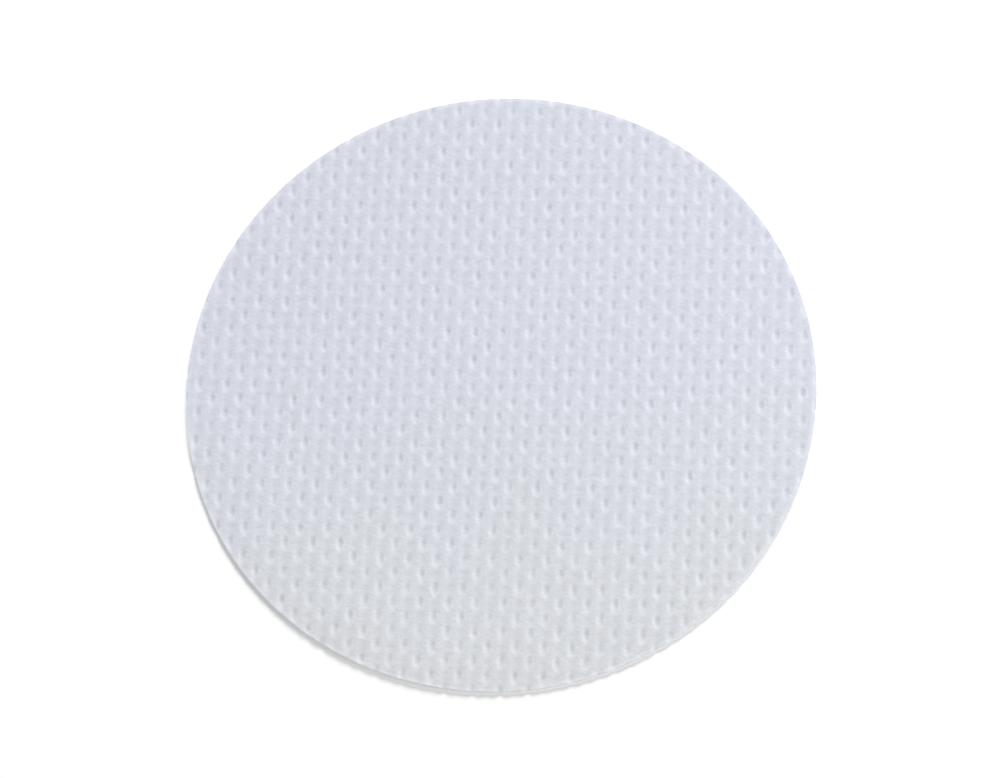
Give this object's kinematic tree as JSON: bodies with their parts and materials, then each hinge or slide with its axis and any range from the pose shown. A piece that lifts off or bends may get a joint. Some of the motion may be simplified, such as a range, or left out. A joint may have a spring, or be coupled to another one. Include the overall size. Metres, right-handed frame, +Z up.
{
  "type": "filter paper disc",
  "caption": "Flat round laboratory filter paper, die-cut from white embossed paper with fine parallel grooves and staggered dents.",
  "frame": {"origin": "centre of the disc at the plane of its underside", "axes": "+Z up through the paper's thickness, +Y along the embossed grooves, +X across them"},
  "size_m": [0.09, 0.09, 0.0003],
  "materials": {
    "filter_paper": "matte"
  },
  "bodies": {
    "root": {"filter_disc": "filter_paper"}
  },
  "joints": []
}
